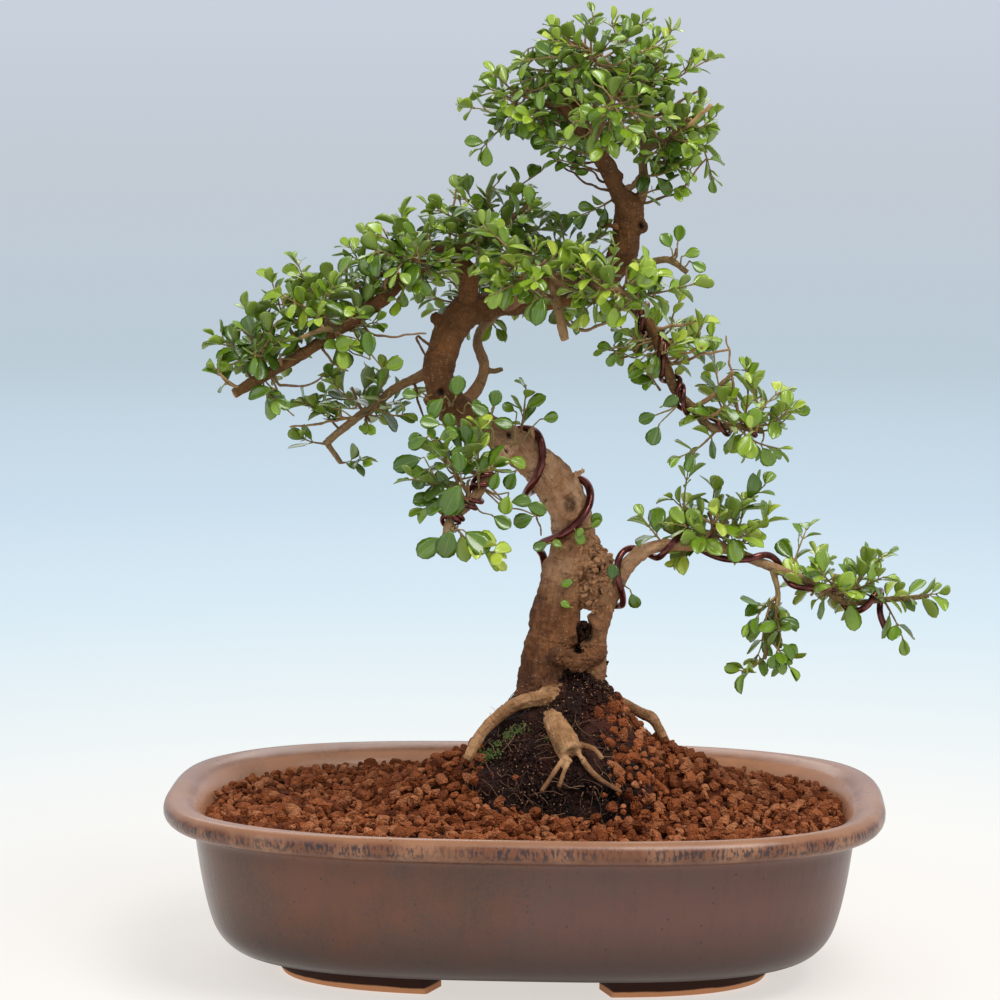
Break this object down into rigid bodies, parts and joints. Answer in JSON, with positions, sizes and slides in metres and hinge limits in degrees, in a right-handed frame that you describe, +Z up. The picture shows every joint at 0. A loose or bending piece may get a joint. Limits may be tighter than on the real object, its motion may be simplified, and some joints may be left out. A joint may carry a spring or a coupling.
{
  "type": "privet bonsai in an oval pot",
  "caption": "Privet bonsai in training: a curved trunk with wired branches and small leaf pads, in an oval brown-glazed pot of red clay granules.",
  "frame": {"origin": "middle of the whole object's box in X and Y, on the surface that the pot's feet stand on", "axes": "+Z up along the tree; +X along the pot's long side toward the low wired branch; -Y is the tree's front"},
  "size_m": [0.3382, 0.2254, 0.4249],
  "materials": {
    "pot_glaze": "satin brown glaze, mauve in places, tan where it thins on the rim, unglazed clay under the feet",
    "net_plastic": "matte",
    "clip_wire": "satin",
    "clay_granules": "matte, dusty, in irregular grains",
    "peat": "matte, crumbly, with fine roots",
    "bark": "matte, smooth young bark with pale specks and knots",
    "training_wire": "satin, copper-brown anodised",
    "leaf": "satin, waxy above and paler beneath"
  },
  "bodies": {
    "root": {"pot": "pot_glaze", "drain_net_left": "net_plastic", "drain_net_right": "net_plastic", "net_clip_left": "clip_wire", "net_clip_right": "clip_wire", "soil_bed": "clay_granules", "root_ball": "peat", "tree_wood": "bark", "trunk_wire": "training_wire", "front_wire_a": "training_wire", "front_wire_b": "training_wire", "mid_wire_a": "training_wire", "mid_wire_b": "training_wire", "low_wire": "training_wire", "leaves_crown_top": "leaf", "leaves_crown_left": "leaf", "leaves_crown_right": "leaf", "leaves_crown_front": "leaf", "leaves_crown_back": "leaf", "leaves_left_top": "leaf", "leaves_left_inner": "leaf", "leaves_left_middle": "leaf", "leaves_left_tip": "leaf", "leaves_left_low": "leaf", "leaves_centre": "leaf", "leaves_front_left": "leaf", "leaves_front_right": "leaf", "leaves_back_left": "leaf", "leaves_back_right": "leaf", "leaves_mid_inner": "leaf", "leaves_mid_tip": "leaf", "leaves_low_inner": "leaf", "leaves_low_outer": "leaf", "leaves_low_hanging": "leaf", "leaves_near_left": "leaf"}
  },
  "joints": []
}
